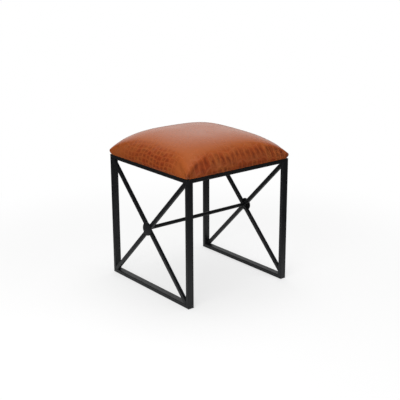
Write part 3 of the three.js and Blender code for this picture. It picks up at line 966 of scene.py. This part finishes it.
def leather_rings(layer, foot):
    """The leather's side and its return under the board, as insets and heights."""
    side = layer.base - foot
    rounding = SEAT_FOOT_RADIUS - SEAT_CORNER_RADIUS
    rings = [
        (LEATHER_TUCK * tuck, foot + side * rise, SEAT_CORNER_RADIUS + rounding * tuck, LEATHER_HANG * hang)
        for rise, tuck, hang in SIDE_SHARES
    ]
    rings += [
        (LEATHER_TUCK + (LEATHER_RETURN - LEATHER_TUCK) * share, foot, SEAT_FOOT_RADIUS)
        for share in RETURN_SHARES
    ]
    return rings


def swell(sheet):
    """Swells a sheet with Blender's cloth, held from its side's last ring on, and caps the moves."""
    mesh = sheet.data
    start = points_of(mesh)
    held = np.flatnonzero(shares_of(mesh)[:, 2] >= len(SIDE_SHARES))
    sheet.vertex_groups.new(name="held").add([int(i) for i in held], 1.0, "REPLACE")
    cloth = sheet.modifiers.new("swell", "CLOTH")
    for name, value in SWELL_SETTINGS.items():
        setattr(cloth.settings, name, value)
    cloth.settings.vertex_group_mass = "held"
    cloth.settings.effector_weights.gravity = 0.0
    scene = bpy.context.scene
    for step in range(1, SWELL_FRAMES + 1):
        scene.frame_set(step)
    swollen = points_of(sheet.evaluated_get(bpy.context.evaluated_depsgraph_get()).data)
    sheet.modifiers.remove(cloth)
    scene.frame_set(1)
    moves = swollen - start
    length = np.linalg.norm(moves, axis=1, keepdims=True)
    place_points(mesh, start + moves * np.minimum(1.0, SWELL_CAP / np.maximum(length, MERGE_DISTANCE)))


def fit_to_layer(mesh, layer, foot):
    """Brings a swollen sheet's top and sides to the layer's sizes, and leaves its foot where it is."""
    places = points_of(mesh)
    sides = smooth_step(places[:, 2], foot, layer.base)
    for axis in (0, 1):
        scale = layer.half / np.abs(places[:, axis]).max()
        places[:, axis] *= 1 + (scale - 1) * sides
    over = np.maximum(places[:, 2] - layer.base, 0)
    places[:, 2] += over * ((layer.top - layer.base) / over.max() - 1)
    place_points(mesh, places)


def soften_corners(mesh, layer, foot):
    """Evens out the ridges that run up the seat's corners, above its lower roll."""
    bm = bmesh.new()
    bm.from_mesh(mesh)
    inner = layer.half - SOFT_REACH
    level = foot + (layer.base - foot) * SOFT_LEVEL_SHARE
    near = [
        vert for vert in bm.verts
        if min(abs(vert.co.x), abs(vert.co.y)) > inner and vert.co.z > level
    ]
    for _ in range(SOFT_ROUNDS):
        bmesh.ops.smooth_vert(
            bm, verts=near, factor=SOFT_ROUND_SHARE, use_axis_x=True, use_axis_y=True, use_axis_z=True
        )
    bm.to_mesh(mesh)
    bm.free()


def pleat_depths(places, layer, height):
    """How deep the corners' pleats press in at each point."""
    over = np.abs(places[:, :2]) - (layer.half - PLEAT_CENTRE)
    angle = np.arctan2(over[:, 1], over[:, 0]) - QUARTER / 2
    reach = np.where(over.min(axis=1) > 0, np.linalg.norm(over, axis=1), 0)
    fade = 1 - smooth_step(height, 0, PLEAT_HEIGHT)
    depths = np.zeros(len(places))
    for pleat in PLEAT_ANGLES:
        aside = reach * np.sin(angle - pleat) / PLEAT_WIDTH
        depths += np.where(reach > 0, PLEAT_DEPTH * np.exp(-aside * aside), 0) * fade
    return depths


def press_corners(mesh, layer, foot):
    """Presses pleats into the leather's corners and the staples' pull into its lower edge."""
    places = points_of(mesh)
    normals = vectors_of(mesh.vertex_normals, "vector")
    height = places[:, 2] - foot
    press = pleat_depths(places, layer, height)
    along = np.where(np.abs(places[:, 0]) > np.abs(places[:, 1]), places[:, 1], places[:, 0])
    pull = sum(np.sin(2 * math.pi * along / pitch) for pitch in PULL_PITCHES) / len(PULL_PITCHES)
    outward = np.clip(1 + normals[:, 2], 0, 1)
    press += PULL_DEPTH * (1 + pull) * (1 - smooth_step(height, 0, PULL_HEIGHT)) * outward
    place_points(mesh, places - normals * press[:, None])


def sheet_index(shares, cells):
    """The numbers of the points: of the crown's grid as an array, and of each ring by grid place."""
    columns = {value: i for i, value in enumerate(np.unique(shares[:, 0]))}
    index = np.full((cells + 1, cells + 1), -1)
    rings = {}
    for i, (across, deep, ring) in enumerate(shares):
        key = (columns[deep], columns[across])
        if ring == 0:
            index[key] = i
        else:
            rings.setdefault(ring, {})[key] = i
    return index, rings


def hide_places(mesh, cells):
    """Each point's place on the flat hide: its distance along the leather from the middle, in X and Y."""
    places = points_of(mesh)
    index, rings = sheet_index(np.round(shares_of(mesh), SHARE_DIGITS), cells)
    grid = places[index]
    middle = cells // 2
    flat = np.zeros((len(places), 2))
    for axis in (0, 1):
        steps = np.diff(grid, axis=axis, prepend=grid.take([0], axis=axis))
        along = np.cumsum(np.linalg.norm(steps, axis=2), axis=axis)
        flat[index, 1 - axis] = along - along.take([middle], axis=axis)
    before = {key: index[key] for key in np.ndindex(index.shape)}
    for ring in sorted(rings):
        for key, i in rings[ring].items():
            outward = np.array([np.sign(place - middle) * (place in (0, cells)) for place in key[::-1]])
            step = np.linalg.norm(places[i] - places[before[key]])
            flat[i] = flat[before[key]] + outward / np.linalg.norm(outward) * step
        before.update(rings[ring])
    return flat


def tile_counts(distances, sizes_at):
    """How many tiles lie between the hide's middle and each distance, where sizes vary along it."""
    line = np.linspace(-HIDE_REACH, HIDE_REACH, ARC_SAMPLES)
    density = 1 / sizes_at(line)
    counts = np.concatenate([[0], np.cumsum((density[1:] + density[:-1]) / 2 * np.diff(line))])
    return np.interp(distances, line, counts)


def tile_width_at(line):
    return TILE_WIDTH_LEFT + (TILE_WIDTH - TILE_WIDTH_LEFT) * smooth_step(line, *TILE_LEFT_RANGE)


def tile_length_at(line):
    return TILE_LENGTH_FRONT + (TILE_LENGTH - TILE_LENGTH_FRONT) * smooth_step(line, *TILE_FRONT_RANGE)


def map_hide(mesh, flat):
    """Writes the hide's tile coordinates, which wander a little, as the mesh's UV map."""
    across = tile_counts(flat[:, 0], tile_width_at)
    deep = tile_counts(flat[:, 1], tile_length_at)
    deep += TILE_LINE_SHARE - tile_counts(TILE_LINE, tile_length_at) % 1
    noise.seed_set(TILE_SEED)
    wander = np.array([
        noise.noise_vector(Vector((x * TILE_WANDER_SCALE, y * TILE_WANDER_SCALE, 0.0)))[:2] for x, y in flat
    ])
    lean = TILE_LEAN * np.sin(deep * TILE_LEAN_RATE)
    breaks = np.array([
        noise.noise(Vector((*(place * TILE_BREAK_SCALES), TILE_BREAK_LEVEL))) for place in flat
    ])
    places = np.column_stack([across + lean, deep + TILE_BREAK * breaks]) + TILE_WANDER * wander
    corners = np.zeros(len(mesh.loops), int)
    mesh.loops.foreach_get("vertex_index", corners)
    layer = mesh.uv_layers.new(name=HIDE_MAP)
    layer.uv.foreach_set("vector", places[corners].ravel())


def write_tile_depth(mesh, flat, foot):
    """Writes how deep and dark the tiles are at each point, as the mesh's attribute."""
    # On the top the tiles fade: a painted sheen in their colour, and a shallower relief
    depth = TOP_SHARE + (1 - TOP_SHARE) * smooth_step(np.abs(flat).max(axis=1), *TOP_RANGE)
    for place, reach, share in FAINT_PLACES:
        away = (flat - place) / reach
        depth *= 1 - share * np.exp(-(away ** 2).sum(axis=1))
    # Near the foot the tiles fade too: painted light in their colour, against the shade of the lower roll
    depth *= 1 - LOWER_EDGE_LIGHT_SHARE * (1 - smooth_step(points_of(mesh)[:, 2] - foot, 0, LOWER_EDGE_LIGHT_HEIGHT))
    mesh.attributes.new(DEPTH_NAME, "FLOAT", "POINT").data.foreach_set("value", depth)


def sink_creases(piece):
    """Adds geometry nodes that sink the creases between the tiles into the surface."""
    tree = bpy.data.node_groups.new("tile_relief", "GeometryNodeTree")
    tree.interface.new_socket("Geometry", in_out="INPUT", socket_type="NodeSocketGeometry")
    tree.interface.new_socket("Geometry", in_out="OUTPUT", socket_type="NodeSocketGeometry")
    entry = tree.nodes.new("NodeGroupInput")
    result = tree.nodes.new("NodeGroupOutput")
    hide = add_node(tree, "GeometryNodeInputNamedAttribute", {"Name": HIDE_MAP}, data_type="FLOAT_VECTOR")
    distance = tile_sockets(tree, hide.outputs["Attribute"])[0]
    share = add_node(tree, "GeometryNodeInputNamedAttribute", {"Name": DEPTH_NAME}, data_type="FLOAT")
    depth = ramp(tree, distance, 0.0, TILE_CREASE_WIDTH, -TILE_RELIEF, 0.0, smooth=True)
    depth = product(tree, depth, share.outputs["Attribute"])
    normal = tree.nodes.new("GeometryNodeInputNormal").outputs["Normal"]
    offset = add_node(tree, "ShaderNodeVectorMath", {0: normal, "Scale": depth}, operation="SCALE").outputs[0]
    moved = add_node(tree, "GeometryNodeSetPosition", {"Geometry": entry.outputs[0], "Offset": offset})
    tree.links.new(moved.outputs[0], result.inputs[0])
    piece.modifiers.new("relief", "NODES").node_group = tree


# The seat's pieces

def seat_sizes():
    """The leather's outer layer and its foot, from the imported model."""
    low, high, size = box_size("leather_cover")
    board_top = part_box("seat_board")[1].z
    return Layer(size.x / 2, high.z, board_top + LAYER_GAP), low.z


def add_leather():
    """The leather, swollen over its padding, pleated at its corners, embossed and given its thickness."""
    outer, foot = seat_sizes()
    small = Layer(outer.half - SWELL_SIDE_ROOM, outer.top - SWELL_TOP_ROOM, outer.base)
    crown = small
    sheet = crowned_sheet(crown, outer, SHEET_CELLS, leather_rings(outer, foot))
    cover = object_from("leather_seat_cover", sheet, "leather")
    turn_edges_one_way(cover.data)
    swell(cover)
    fit_to_layer(cover.data, outer, foot)
    soften_corners(cover.data, outer, foot)
    fitted = cover.data.copy()
    flat = hide_places(cover.data, SHEET_CELLS)
    map_hide(cover.data, flat)
    write_tile_depth(cover.data, flat, foot)
    shaped(cover, subdivided(LEATHER_LEVELS))
    press_corners(cover.data, outer, foot)
    sink_creases(cover)
    shaped(cover, thickened(LEATHER_THICKNESS))
    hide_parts("leather_cover")
    return fitted


def padding_mesh(fitted, layer, inset, last_ring):
    """The leather's fitted sheet down to one of its rings, drawn in all round by an inset."""
    bm = bmesh.new()
    bm.from_mesh(fitted)
    share = bm.verts.layers.float_vector["share"]
    below = [vert for vert in bm.verts if vert[share].z > last_ring]
    bmesh.ops.delete(bm, geom=below, context="VERTS")
    inward = 1 - inset / layer.half
    lower = 1 - inset / (layer.top - layer.base)
    bmesh.ops.scale(
        bm, vec=(inward, inward, lower), space=Matrix.Translation((0, 0, -layer.base)), verts=bm.verts
    )
    return bm


def add_wrap(fitted, layer, inset):
    """The fibre wrap under the leather, open at the foot."""
    wrap = object_from("seat_wrap", padding_mesh(fitted, layer, inset, WRAP_LAST_RING), "fibre")
    shaped(wrap, subdivided(WRAP_LEVELS), thickened(WRAP_THICKNESS))
    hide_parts("fibre_wrap")


def add_foam(fitted, layer, inset):
    """The foam block under the wrap, flat where it lies on the board."""
    bm = padding_mesh(fitted, layer, inset, 0)
    bmesh.ops.edgeloop_fill(bm, edges=boundary(bm))
    bmesh.ops.recalc_face_normals(bm, faces=bm.faces)
    foam = object_from("seat_foam", bm, "foam")
    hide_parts("foam_pad")


def cut_screw_holes(bm):
    """Opens the cloth under each screw and draws the points round the opening onto a circle."""
    for corner, _, _ in CORNERS:
        hole = (sum(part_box(f"{corner}_seat_screw"), Vector()) / 2).xy
        near = [vert for vert in bm.verts if (vert.co.xy - hole).length < DUST_CELL / 2]
        bmesh.ops.delete(bm, geom=near, context="VERTS")
        for vert in bm.verts:
            away = vert.co.xy - hole
            if away.length < DUST_HOLE_REACH:
                vert.co.xy = hole + away.normalized() * DUST_HOLE


def add_dust_cover():
    """The cloth under the seat: it sags a little between its staples and has holes for the screws."""
    _, high, size = box_size("dust_cover")
    cells = round(size.x / DUST_CELL)
    half = size.x / 2
    held = half - STAPLE_INSET
    bm = bmesh.new()
    bmesh.ops.create_grid(bm, x_segments=cells, y_segments=cells, size=half)
    cut_screw_holes(bm)
    for vert in bm.verts:
        x, y = vert.co.xy
        loose = max(0, 1 - (x / held) ** 2) * max(0, 1 - (y / held) ** 2)
        wave_x, wave_y = (math.sin(2 * math.pi * value / STAPLE_PITCH) for value in (x, y))
        vert.co.x, vert.co.y = plan_place(x / half, y / half, half, DUST_CORNER)
        vert.co.z = high.z - (DUST_SAG - DUST_RIPPLE * wave_x * wave_y) * loose
    cover = object_from("seat_dust_cover", bm, "dust_cloth")
    shaped(cover, thickened(size.z))
    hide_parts("dust_cover")


def staple(place, turn):
    """A staple driven up into the board: a rounded bar with its two legs."""
    bm = block((STAPLE_WIDTH, STAPLE_WIRE, STAPLE_THICKNESS))
    for x in (STAPLE_LEG_PLACE, -STAPLE_LEG_PLACE):
        parts = bm.verts[:] + bm.edges[:] + bm.faces[:]
        bmesh.ops.bisect_plane(bm, geom=parts, plane_co=(x, 0, 0), plane_no=(1, 0, 0))
    ends = [
        face for face in bm.faces
        if face.normal.z > 0.5 and abs(face.calc_center_median().x) > STAPLE_LEG_PLACE
    ]
    for face in bmesh.ops.extrude_discrete_faces(bm, faces=ends)["faces"]:
        bmesh.ops.translate(bm, vec=(0, 0, STAPLE_LEG), verts=face.verts)
    round_edges(bm, [edge for edge in bm.edges if edge.calc_face_angle(0) > 1], STAPLE_EDGE)
    put(bm, turn, place)
    return bm


def add_staples():
    """Staples along the dust cover's four sides, between the corner tabs."""
    low, _, size = box_size("dust_cover")
    held = size.x / 2 - STAPLE_INSET
    staples = Joined()
    for number in range(-STAPLES_EACH_WAY, STAPLES_EACH_WAY + 1):
        for quarter in range(4):
            turn = turn_about("Z", quarter * QUARTER)
            place = turn @ Vector((number * STAPLE_PITCH, -held, low.z - STAPLE_THICKNESS / 2))
            staples.add(staple(place, turn))
    object_from("dust_cover_staples", staples.bm, "zinc")


def add_seat():
    layer, _ = seat_sizes()
    fitted = add_leather()
    wrap_inset = LEATHER_THICKNESS + PLEAT_DEPTH + PULL_DEPTH + TILE_RELIEF
    add_wrap(fitted, layer, wrap_inset)
    add_foam(fitted, layer, wrap_inset + WRAP_THICKNESS + FOAM_ROOM)
    add_dust_cover()
    add_staples()


# Studio

def white_light(tree, kind, strength):
    return add_node(tree, kind, {"Color": grey(1), "Strength": strength}).outputs[0]


def mixed(tree, share, first, second):
    return add_node(tree, "ShaderNodeMixShader", {0: share, 1: first, 2: second}).outputs[0]


def diffuse(tree, colour):
    return add_node(tree, "ShaderNodeBsdfDiffuse", {"Color": colour}).outputs[0]


def floor_finish():
    """White to the camera away from the stool; near it, pale, lit and open to the stool's shadow."""
    material = bpy.data.materials.new("floor")
    material.use_nodes = True
    tree = material.node_tree
    tree.nodes.clear()
    away = add_node(
        tree, "ShaderNodeVectorMath", {0: place_socket(tree)}, operation="LENGTH"
    ).outputs["Value"]
    lift = white_light(tree, "ShaderNodeEmission", FLOOR_LIFT)
    lit = add_node(tree, "ShaderNodeAddShader", {0: diffuse(tree, grey(FLOOR_TONE)), 1: lift}).outputs[0]
    white = white_light(tree, "ShaderNodeEmission", 1.0)
    shown = mixed(tree, ramp(tree, away, *WHITE_RANGE, smooth=True), lit, white)
    tones = [grey(tone) for tone in BOUNCE_TONES]
    bounced = diffuse(tree, mix_colours(tree, ramp(tree, away, *BOUNCE_RANGE, smooth=True), *tones))
    camera_ray = tree.nodes.new("ShaderNodeLightPath").outputs["Is Camera Ray"]
    result = tree.nodes.new("ShaderNodeOutputMaterial")
    tree.links.new(mixed(tree, camera_ray, bounced, shown), result.inputs["Surface"])
    return material


def add_floor():
    bm = bmesh.new()
    bmesh.ops.create_circle(bm, cap_ends=True, segments=FLOOR_SIDES, radius=FLOOR_RADIUS)
    mesh = bpy.data.meshes.new("floor")
    bm.to_mesh(mesh)
    bm.free()
    mesh.materials.append(floor_finish())
    floor = bpy.data.objects.new("floor", mesh)
    bpy.context.scene.collection.objects.link(floor)


def backdrop_strength(tree):
    """How bright a reflection's direction is: the backdrop with its soft edges, and the dim room."""
    direction = tree.nodes.new("ShaderNodeTexCoord").outputs["Generated"]
    toward, across = (
        add_node(
            tree, "ShaderNodeVectorMath", {0: direction, 1: axis}, operation="DOT_PRODUCT"
        ).outputs["Value"]
        for axis in (BACKDROP_TOWARD, BACKDROP_ACROSS)
    )
    ahead = ramp(tree, toward, *BACKDROP_AHEAD)
    inside = ramp(tree, math_node(tree, "ABSOLUTE", across), *BACKDROP_ASIDE, 1.0, 0.0)
    backdrop = product(tree, ahead, inside, BACKDROP_STRENGTH)
    return math_node(tree, "ADD", backdrop, ROOM_STRENGTH)


def add_world():
    """White to the camera, a backdrop in a dim room to reflections, and even light to all else."""
    world = bpy.data.worlds.new("studio")
    bpy.context.scene.world = world
    world.use_nodes = True
    tree = world.node_tree
    tree.nodes.clear()
    even, reflected, white = (
        white_light(tree, "ShaderNodeBackground", strength)
        for strength in (AMBIENT_STRENGTH, backdrop_strength(tree), 1.0)
    )
    path = tree.nodes.new("ShaderNodeLightPath").outputs
    mirrored = math_node(tree, "MAXIMUM", path["Is Glossy Ray"], path["Is Transmission Ray"])
    unseen = mixed(tree, mirrored, even, reflected)
    result = tree.nodes.new("ShaderNodeOutputWorld")
    tree.links.new(mixed(tree, path["Is Camera Ray"], unseen, white), result.inputs["Surface"])


def add_lamp(name, place, width, watts):
    """A soft square lamp that faces the seat, kept out of reflections."""
    data = bpy.data.lights.new(name, "AREA")
    data.shape = "SQUARE"
    data.size = width
    data.energy = watts
    lamp = bpy.data.objects.new(name, data)
    lamp.location = place
    lamp.rotation_euler = (Vector(place) - LAMP_AIM).to_track_quat("Z", "Y").to_euler()
    lamp.visible_glossy = False
    bpy.context.scene.collection.objects.link(lamp)


def add_camera():
    data = bpy.data.cameras.new("camera")
    data.sensor_width = SENSOR_MILLIMETRES
    data.lens = SENSOR_MILLIMETRES * FOCAL_PIXELS / PICTURE_PIXELS
    data.clip_end = CAMERA_CLIP_END
    camera = bpy.data.objects.new("camera", data)
    bpy.context.scene.collection.objects.link(camera)
    turn = turn_about("Z", CAMERA_AZIMUTH) @ turn_about("X", QUARTER - CAMERA_ELEVATION)
    turn = turn @ turn_about("Z", CAMERA_ROLL)
    back = turn.to_3x3() @ Vector((0, 0, 1))
    camera.matrix_world = Matrix.Translation(CAMERA_AIM + back * CAMERA_DISTANCE) @ turn
    bpy.context.scene.camera = camera


# The scene

add_camera()
grain = grain_group()
finishes = {
    "powder_coat": powder_coat(),
    "leather": embossed_leather(),
    "plywood": birch_plywood(),
    "foam": cut_foam(),
    "fibre": fibre_batting(),
    "dust_cloth": dust_cloth(),
    "zinc": zinc_plate(),
    "nylon": black_nylon(),
}
for subpart in frame["record"]["subparts"]:
    for place in frame["nodes"][subpart["node"]].material_slots:
        place.material = finishes[subpart["material_slot"]]

for side, sign in SIDES:
    add_hub_disc(side, sign)
    add_side_welds(side, sign)
    for end, _ in ENDS:
        add_glide(f"{side}_{end}")
add_stretcher()
add_rail_and_tab_welds()
add_seat()

add_floor()
add_world()
for lamp in LAMPS:
    add_lamp(*lamp)

bpy.context.scene.view_settings.view_transform = "Standard"
